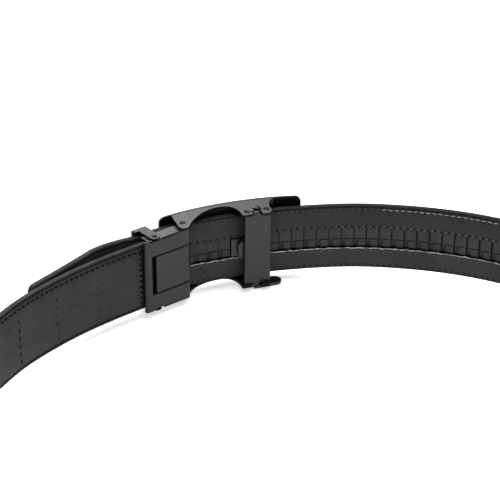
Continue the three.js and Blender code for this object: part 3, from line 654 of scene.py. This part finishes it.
def softened(node, width):
    """A copy of a CAD node's solid with its sharp edges softened, so that they catch the light."""
    mesh = NODES[node].data.copy()
    mesh.materials.clear()
    tool = bmesh.new()
    tool.from_mesh(mesh)
    bmesh.ops.remove_doubles(tool, verts=tool.verts, dist=0.002 * MM)
    bmesh.ops.dissolve_limit(tool, angle_limit=math.radians(0.5), verts=tool.verts, edges=tool.edges)
    sharp = [e for e in tool.edges if len(e.link_faces) == 2 and e.calc_face_angle(0) > math.radians(40)]
    bmesh.ops.bevel(
        tool, geom=sharp, offset=width, segments=2, affect="EDGES", profile=0.5, clamp_overlap=True)
    bmesh.ops.triangulate(tool, faces=[f for f in tool.faces if len(f.verts) > 4])
    tool.to_mesh(mesh)
    tool.free()
    mesh.name = node + "_soft"
    for polygon in mesh.polygons:
        polygon.use_smooth = True
    mesh.set_sharp_from_angle(angle=math.radians(50))
    return mesh


def mark_cut_edges(mesh, sheet):
    """Gives the narrow sides of upright sheet, thinner than sheet, the second material, which is painted
    shade.
    """
    for polygon in mesh.polygons:
        heights = [mesh.vertices[i].co.z for i in polygon.vertices]
        narrow = max(heights) - min(heights) < sheet
        polygon.material_index = int(narrow and abs(polygon.normal.z) < 0.6)


def soften_node(node, name, materials, body, width):
    mesh = softened(node, width)
    if len(materials) > 1:
        mark_cut_edges(mesh, CUT_EDGE * MM)
    piece = add_piece(name, mesh, materials, body, [node])
    modifier = piece.modifiers.new("Even shading", "WEIGHTED_NORMAL")
    modifier.keep_sharp = True
    return piece


def turned_pin(profile, centre, shaded_below, notches=0, sides=48):
    """A turned pin from its profile of (radius, height, knurled) in mm, with painted shade below a height."""
    tool = bmesh.new()
    rings = []
    for radius, height, knurled in profile:
        ring = []
        for i in range(sides):
            angle = 2 * math.pi * i / sides
            depth = 0.09 * knurled * (1 + math.cos(notches * angle)) / 2 if notches else 0
            reach = (radius - depth) * MM
            ring.append(tool.verts.new((
                centre.x + reach * math.cos(angle), centre.y + reach * math.sin(angle), height * MM)))
        rings.append(ring)
    for k, (upper, lower) in enumerate(zip(rings, rings[1:])):
        for i in range(sides):
            j = (i + 1) % sides
            face = tool.faces.new((upper[i], lower[i], lower[j], upper[j]))
            face.material_index = int(profile[k][1] < shaded_below)
    tool.faces.new(rings[0])
    tool.faces.new(rings[-1][::-1])
    bmesh.ops.recalc_face_normals(tool, faces=tool.faces)
    mesh = bpy.data.meshes.new("turned_pin")
    tool.to_mesh(mesh)
    tool.free()
    for polygon in mesh.polygons:
        polygon.use_smooth = True
    mesh.set_sharp_from_angle(angle=math.radians(40))
    return mesh


def pin_profile(radius, top, foot):
    """A peened pin: a dimple in its head, a deep groove round it and a straight shank."""
    dimple = min(0.25, radius / 5)
    return [
        (radius * 0.1, top - dimple, 0), (radius * 0.3, top - dimple, 0), (radius * 0.42, top - 0.02, 0),
        (radius * 0.6, top, 0), (radius * 0.7, top - 0.12, 0), (radius * 0.76, top - 0.6, 1),
        (radius, top - 0.7, 1), (radius, foot + 0.12, 1), (radius - 0.1, foot, 0), (radius * 0.2, foot, 0),
    ]


def node_centre(node):
    low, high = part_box(node)
    return (Vector(low) + Vector(high)) / 2


def add_pin(node, body, material):
    low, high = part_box(node)
    centre = node_centre(node)
    radius = (high[0] - low[0]) / 2 / MM
    notches = 12 if radius < 1 else 0
    top = high[2] / MM
    mesh = turned_pin(pin_profile(radius, top, low[2] / MM), centre, top - 0.4, notches)
    return add_piece(node + "_turned", mesh, [material, hole_shade_material()], body, [node])


class BELT_OT_strap(bpy.types.Operator):
    """Build the leather strap over its CAD solid"""

    bl_idname = "ratchet_belt.strap"
    bl_label = "Leather strap"

    def execute(self, context):
        settings = context.scene.belt_strap
        mesh = strap_mesh(settings)
        outward_faces(mesh)
        mesh.set_sharp_from_angle(angle=math.radians(38))
        materials = [leather_material(settings), raw_leather_material(settings)]
        add_piece("strap_leather_skin", mesh, materials, "belt", ["strap"])
        return {"FINISHED"}


class BELT_OT_stitches(bpy.types.Operator):
    """Lay the stitch rows and the trim marks on the strap"""

    bl_idname = "ratchet_belt.stitches"
    bl_label = "Stitching and trim marks"

    def execute(self, context):
        settings = context.scene.belt_strap
        width = settings.width / MM
        half = settings.thickness / MM / 2
        tree = stitch_tree()
        # Copies of one thread colour: the darkest is painted shade, the lighter ones are painted highlight
        dark, faintly_lit, half_lit, highlit = (
            thread_material("thread_" + name, [c * share for c in settings.thread])
            for name, share in (("dark", 0.3), ("faintly_lit", 1.4), ("half_lit", 2.6), ("highlit", 7)))
        holes = hole_shade_material()
        pitch, length, thick = settings.stitch_pitch, settings.stitch_length, settings.thread_width
        inner, outer, face = -half + 0.14, half - 0.14, -half
        start, end = CLAMP_SHADE + 2, PATH.length - TIP_RADIUS

        def low(distance):
            return row_heights(distance, width)[0]

        def high(distance):
            return row_heights(distance, width)[1]

        def over_window(distance):
            return WINDOW_HEIGHTS[1] + ROW_OVER_WINDOW

        def under_window(distance):
            return WINDOW_HEIGHTS[0] - ROW_UNDER_WINDOW

        shaded_rows = [
            row_along(start, LIT_STITCHES_START, inner, high), row_along(LIT_STITCHES_END, end, inner, high),
            row_along(TAIL_END, LIT_STITCHES_START, inner, low), row_along(LIT_STITCHES_END, end, inner, low),
            row_along(start, end, outer, low), row_along(start, end, outer, high),
        ]
        lay_stitches("stitches_black", tree, shaded_rows, pitch, length, thick, 0.06, dark)
        highlit_rows = [row_along(LIT_STITCHES_START, HIGHLIGHT_END, inner, high)]
        lay_stitches("stitches_highlit", tree, highlit_rows, pitch, length * 1.15, thick, 0.2, highlit)
        faint_rows = [
            row_along(HIGHLIGHT_END, LIT_STITCHES_END, inner, high), row_along(LIT_STITCHES_START, LIT_STITCHES_END, inner, low),
            row_along(WINDOW[0] + 1, LIT_STITCHES_END, inner, under_window),
        ]
        lay_stitches("stitches_faint", tree, faint_rows, pitch, length * 0.8, thick * 0.8, 0.2, faintly_lit)
        tail_holes = [row_along(start + pitch / MM / 2, TAIL_END, face, high)]
        lay_stitches("holes_tail", tree, tail_holes, pitch, length * 0.8, thick * 1.5, 0.16, holes)
        window_row = [row_along(WINDOW[0] + 1, LIT_STITCHES_END, face, over_window)]
        lay_stitches("stitches_window", tree, window_row, pitch * 1.1, length * 0.7, thick, 0.2, half_lit)
        window_holes = [row_along(WINDOW[0] + 1 + pitch / MM * 0.55, LIT_STITCHES_END, face, over_window)]
        lay_stitches("holes_window", tree, window_holes, pitch * 1.1, thick * 3.2, thick * 1.7, 0.1, holes)
        # Near-black stitches in the painted shadow beside the clamp, with a lighter copy of the thread
        # between them as painted highlight
        clamp_rows = [row_up(CLAMP_SHADE + reach, face, 4, width - 4) for reach in (0.3, 0.85)]
        lay_stitches("stitches_clamp", tree, clamp_rows, pitch * 0.9, length * 0.85, thick * 1.7, 0.35, holes)
        clamp_highlights = [row_up(CLAMP_SHADE + 0.6, face, 5.4, width - 5.4)]
        lay_stitches("stitches_clamp_highlit", tree, clamp_highlights, pitch * 0.9, thick * 1.6, thick, 0.4, faintly_lit)
        for n, share in ((1, 0.7), (2, 0.85), (3, 1.2)):
            marks = [row_up(MOUTH + TRIM_SPACING * n + TRIM_START, face + 0.05, *TRIM_HEIGHTS)]
            name = "trim_mark_" + str(n)
            lay_stitches(name, tree, marks, 3.7 * MM, 2.1 * MM * share, 0.65 * MM * share, 0.12, holes)
        bpy.data.node_groups.remove(tree)
        return {"FINISHED"}


def mark_track(mesh):
    """Marks the track's points with their depth below the teeth, distance in pitches and height."""
    line = KDTree(len(PATH.line))
    for i, place in enumerate(PATH.line):
        line.insert(Vector((*place, 0)), i)
    line.balance()
    marks = {"depth": [], "pitches": [], "rise": []}
    for vertex in mesh.vertices:
        place = Vector((vertex.co.x / MM, vertex.co.y / MM, 0))
        near = line.find(place)[1]
        foot, outward = PATH.station(PATH.reach[near])
        offset = (place - Vector((*PATH.line[near], 0))).dot(outward)
        ahead = (place - Vector((*PATH.line[near], 0))).dot(Vector((-outward.y, outward.x, 0)))
        marks["depth"].append(min(max((offset - TOOTH_TOP) / (TOOTH_FLOOR - TOOTH_TOP), 0), 1))
        marks["pitches"].append((PATH.reach[near] + ahead - TRACK_START) / TOOTH_PITCH)
        marks["rise"].append(vertex.co.z / MM - foot.z)
    for name, values in marks.items():
        mesh.attributes.new(name, "FLOAT", "POINT").data.foreach_set("value", values)


class BELT_OT_track(bpy.types.Operator):
    """Finish the toothed track in moulded nylon"""

    bl_idname = "ratchet_belt.track"
    bl_label = "Toothed track"

    def execute(self, context):
        material = nylon_material(context.scene.belt_buckle)
        name = "ratchet_track_moulded"
        piece = soften_node("ratchet_track", name, [material], "belt", 0.12 * MM)
        mark_track(piece.data)
        return {"FINISHED"}


class BELT_OT_plate(bpy.types.Operator):
    """Build the curved face plate with a smooth front and a fine bevel"""

    bl_idname = "ratchet_belt.plate"
    bl_label = "Face plate"

    def execute(self, context):
        settings = context.scene.belt_buckle
        material = coated_metal_material("plate_black", settings.metal, 0.3)
        mesh = face_plate_mesh(settings.plate_thickness / MM)
        # A darker copy of the coating for the plate's rear: painted shade
        shaded_back = coated_metal_material("plate_back_shade", [c * 0.2 for c in settings.metal], 0.6, 0.06)
        add_piece("face_plate_smooth", mesh, [material, shaded_back], "belt", ["face_plate"])
        return {"FINISHED"}


def face_plate_mesh(thickness):
    """The face plate: a rounded rectangle wrapped on a cylinder about an upright axis, in mm."""
    low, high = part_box("face_plate")
    radius, bevel = PLATE_RADIUS, PLATE_BEVEL
    centre = Vector((PLATE_MIDDLE, low[1] / MM + radius))
    half_angle = PLATE_LENGTH / 2 / radius
    middle, rise = (low[2] + high[2]) / 2 / MM, (high[2] - low[2]) / 2 / MM
    columns, levels, round_steps = 44, 10, 7

    def outline(inset):
        side, up, turn = half_angle * radius - inset, rise - inset, PLATE_CORNER - inset
        ring = []
        for sign_x, sign_z, start in ((1, 1, 0), (-1, 1, 90), (-1, -1, 180), (1, -1, 270)):
            for i in range(round_steps + 1):
                a = math.radians(start + 90 * i / round_steps)
                across, above = turn * math.cos(a), turn * math.sin(a)
                ring.append((sign_x * (side - turn) + across, sign_z * (up - turn) + above))
            nearest = ring[-1]
            along = start in (0, 180)
            count = columns if along else levels
            reach = 2 * ((side if along else up) - turn)
            for i in range(1, count):
                step = reach * i / count
                shift = (-sign_x * step, 0) if along else (0, -sign_z * step)
                ring.append((nearest[0] + shift[0], nearest[1] + shift[1]))
        return ring

    rings = [(bevel * 1.6, 0.0), (bevel * 0.7, bevel * 0.12), (bevel * 0.15, bevel * 0.45), (0, bevel),
             (0, thickness - 0.25), (0.07, thickness - 0.07), (0.25, thickness)]
    tool = bmesh.new()

    def bent(x, z, depth):
        angle = x / radius
        reach = radius - depth
        return (
            (centre.x + reach * math.sin(angle)) * MM, (centre.y - reach * math.cos(angle)) * MM,
            (z + middle) * MM)

    loops = [[tool.verts.new(bent(x, z, depth)) for x, z in outline(inset)] for inset, depth in rings]
    count = len(loops[0])
    for front, rear in zip(loops, loops[1:]):
        for i in range(count):
            j = (i + 1) % count
            tool.faces.new((front[i], rear[i], rear[j], front[j]))
    half_ring = count // 2
    per_corner = round_steps + 1
    tops = list(range(0, per_corner * 2 + columns - 1))
    bottoms = [half_ring + per_corner * 2 + columns - 2 - i for i in range(len(tops))]
    for loop in (loops[0], loops[-1]):
        for i in range(len(tops) - 1):
            tool.faces.new((loop[tops[i]], loop[tops[i + 1]], loop[bottoms[i + 1]], loop[bottoms[i]]))
        for first in (tops[-1], bottoms[0]):
            side = [loop[(first + i) % count] for i in range(levels + 1)]
            if len(side) > 2:
                tool.faces.new(side)
    bmesh.ops.recalc_face_normals(tool, faces=tool.faces)
    mesh = bpy.data.meshes.new("face_plate_smooth")
    tool.to_mesh(mesh)
    tool.free()
    for polygon in mesh.polygons:
        polygon.use_smooth = True
        # The rear faces take the darker copy, painted shade
        polygon.material_index = int(polygon.normal.y > 0.5)
    mesh.set_sharp_from_angle(angle=math.radians(40))
    return mesh


class BELT_OT_buckle(bpy.types.Operator):
    """Finish the buckle's frame and bridge bar in black coated metal"""

    bl_idname = "ratchet_belt.buckle"
    bl_label = "Buckle frame and bridge"

    def execute(self, context):
        settings = context.scene.belt_buckle
        metal = coated_metal_material("frame_black", settings.metal, 0.42, 0.37)
        materials = [metal, cut_edge_shade_material(settings)]
        for node, share in (("buckle_frame", 1), ("bridge_bar", 1.5)):
            width = settings.edge_softness * share
            soften_node(node, node + "_coated", materials, "belt", width)
        return {"FINISHED"}


class BELT_OT_clamp(bpy.types.Operator):
    """Finish the clamp, its flap and the keeper loop"""

    bl_idname = "ratchet_belt.clamp"
    bl_label = "Clamp, flap and keeper"

    def execute(self, context):
        settings = context.scene.belt_buckle
        edge = cut_edge_shade_material(settings)
        metal = coated_metal_material("clamp_black", settings.metal, 0.4, 0.31)
        dark = coated_metal_material("keeper_black", settings.metal, 0.45, 0.26)
        sheets = (
            ("clamp_cover", "belt", metal, 1.5), ("clamp_channel", "belt", metal, 1),
            ("clamp_flap", "flap", metal, 1.5), ("keeper_loop", "belt", dark, 1),
        )
        for node, body, material, share in sheets:
            width = settings.edge_softness * share
            soften_node(node, node + "_coated", [material, edge], body, width)
        return {"FINISHED"}


class BELT_OT_release(bpy.types.Operator):
    """Finish the pawl, the finger tab and the axle that they turn on"""

    bl_idname = "ratchet_belt.release"
    bl_label = "Release"

    def execute(self, context):
        settings = context.scene.belt_buckle
        material = coated_metal_material("release_black", settings.metal, 0.36)
        for node in ("ratchet_pawl", "release_tab"):
            soften_node(node, node + "_coated", [material], "release", 0.18 * MM)
        low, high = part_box("pawl_axle")
        top, foot = high[2] / MM, low[2] / MM
        head = (high[0] - low[0]) / 2 / MM
        under = top - AXLE_HEAD
        profile = [
            (0.2, top, 0), (head * 0.45, top, 0), (head * 0.7, top - 0.08, 0),
            (head * 0.93, top - 0.22, 1), (head, top - 0.42, 1), (head, top - 0.6, 1),
            (head * 0.92, under, 0), (AXLE_RADIUS, under, 0), (AXLE_RADIUS, foot + 0.1, 0),
            (AXLE_RADIUS - 0.1, foot, 0), (0.2, foot, 0),
        ]
        pins = coated_metal_material("axle_black", settings.pins, 0.36, 0.2)
        mesh = turned_pin(profile, node_centre("pawl_axle"), foot, notches=16, sides=64)
        add_piece("pawl_axle_turned", mesh, [pins], "release", ["pawl_axle"])
        return {"FINISHED"}


class BELT_OT_pins(bpy.types.Operator):
    """Turn the rivets and pins with peened heads"""

    bl_idname = "ratchet_belt.pins"
    bl_label = "Rivets and pins"

    def execute(self, context):
        material = coated_metal_material("pin_black", context.scene.belt_buckle.pins, 0.36, 0.25)
        for side in ("top_left", "top_right", "bottom_left", "bottom_right"):
            add_pin("bridge_rivet_" + side, "belt", material)
        for node in ("clamp_pivot_pin", "keeper_pin_top", "keeper_pin_bottom"):
            add_pin(node, "belt", material)
        return {"FINISHED"}


class BELT_OT_stage(bpy.types.Operator):
    """Lay the pale floor and set the lights and the camera"""

    bl_idname = "ratchet_belt.stage"
    bl_label = "Stage"

    def execute(self, context):
        settings = context.scene.belt_stage
        scene = context.scene
        mesh = bpy.data.meshes.new("floor")
        reach = 6
        corners = [(-reach, -reach, 0), (reach, -reach, 0), (reach, reach, 0), (-reach, reach, 0)]
        mesh.from_pydata(corners, [], [(0, 1, 2, 3)])
        material, tree, surface, place = blank_material("floor_pale")
        pale = tones(tree, noise(tree, place, 3), settings.floor, 0.99, 1.0)
        tree.links.new(pale, surface.inputs["Base Color"])
        surface.inputs["Roughness"].default_value = 0.9
        surface.inputs["Specular IOR Level"].default_value = 0.0
        surface.inputs["Emission Color"].default_value = (1, 1, 1, 1)
        surface.inputs["Emission Strength"].default_value = settings.floor_glow
        mesh.materials.append(material)
        floor = bpy.data.objects.new("floor", mesh)
        scene.collection.objects.link(floor)
        world = bpy.data.worlds.new("studio")
        world.use_nodes = True
        world.node_tree.nodes["Background"].inputs["Color"].default_value = (1, 1, 1, 1)
        world.node_tree.nodes["Background"].inputs["Strength"].default_value = settings.room_light
        scene.world = world
        buckle = Vector((0.02, -0.16, 0.03))
        lights = (
            ("softbox_back", (0.35, -1.35, 0.95), (1.6, 0.9), settings.back_light),
            ("softbox_top", (-0.2, -0.2, 1.6), (1.2, 1.2), settings.back_light * TOP_LIGHT),
        )
        for name, place, size, power in lights:
            data = bpy.data.lights.new(name, "AREA")
            data.shape = "RECTANGLE"
            data.size, data.size_y = size
            data.energy = power
            lamp = bpy.data.objects.new(name, data)
            lamp.location = place
            lamp.rotation_euler = (buckle - Vector(place)).to_track_quat("-Z", "Y").to_euler()
            scene.collection.objects.link(lamp)
        scene.view_settings.view_transform = "Standard"
        add_camera(scene)
        return {"FINISHED"}


def add_camera(scene):
    """The camera of the photograph, from its place, heading, pitch, roll and lens."""
    data = bpy.data.cameras.new("photo_camera")
    data.lens = CAMERA_LENS
    data.sensor_width = 36
    data.clip_start, data.clip_end = 0.05, 20
    camera = bpy.data.objects.new("photo_camera", data)
    flat = Vector((*CAMERA_HEADING, 0)).normalized()
    forward = flat * math.cos(CAMERA_PITCH) - Vector((0, 0, 1)) * math.sin(CAMERA_PITCH)
    level = Vector((flat.y, -flat.x, 0))
    upright = level.cross(forward)
    right = level * math.cos(CAMERA_ROLL) + upright * math.sin(CAMERA_ROLL)
    up = upright * math.cos(CAMERA_ROLL) - level * math.sin(CAMERA_ROLL)
    camera.matrix_world = (
        Matrix.Translation(Vector(CAMERA_PLACE) * MM) @ Matrix((right, up, -forward)).transposed().to_4x4())
    scene.collection.objects.link(camera)
    scene.camera = camera


class BELT_PT_panel(bpy.types.Panel):
    """Panel of the belt's builders"""

    bl_idname = "BELT_PT_panel"
    bl_label = "Ratchet Belt"
    bl_space_type = "VIEW_3D"
    bl_region_type = "UI"
    bl_category = "Belt"

    def draw(self, context):
        for operator in OPERATORS:
            self.layout.operator(operator.bl_idname)
        for name in GROUPS:
            settings = getattr(context.scene, name)
            for key in settings.bl_rna.properties.keys():
                if key not in ("rna_type", "name"):
                    self.layout.prop(settings, key)


OPERATORS = (
    BELT_OT_strap, BELT_OT_stitches, BELT_OT_track, BELT_OT_plate, BELT_OT_buckle,
    BELT_OT_clamp, BELT_OT_release, BELT_OT_pins, BELT_OT_stage,
)
GROUPS = {"belt_strap": StrapSettings, "belt_buckle": BuckleSettings, "belt_stage": StageSettings}


def register():
    for name, group in GROUPS.items():
        bpy.utils.register_class(group)
        setattr(bpy.types.Scene, name, bpy.props.PointerProperty(type=group))
    for shown in (*OPERATORS, BELT_PT_panel):
        bpy.utils.register_class(shown)


def unregister():
    for shown in (BELT_PT_panel, *reversed(OPERATORS)):
        bpy.utils.unregister_class(shown)
    for name, group in reversed(GROUPS.items()):
        delattr(bpy.types.Scene, name)
        bpy.utils.unregister_class(group)


def main():
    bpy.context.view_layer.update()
    register()
    bpy.ops.ratchet_belt.strap()
    bpy.ops.ratchet_belt.stitches()
    bpy.ops.ratchet_belt.track()
    bpy.ops.ratchet_belt.plate()
    bpy.ops.ratchet_belt.buckle()
    bpy.ops.ratchet_belt.clamp()
    bpy.ops.ratchet_belt.release()
    bpy.ops.ratchet_belt.pins()
    bpy.ops.ratchet_belt.stage()


if __name__ == "__main__":
    main()
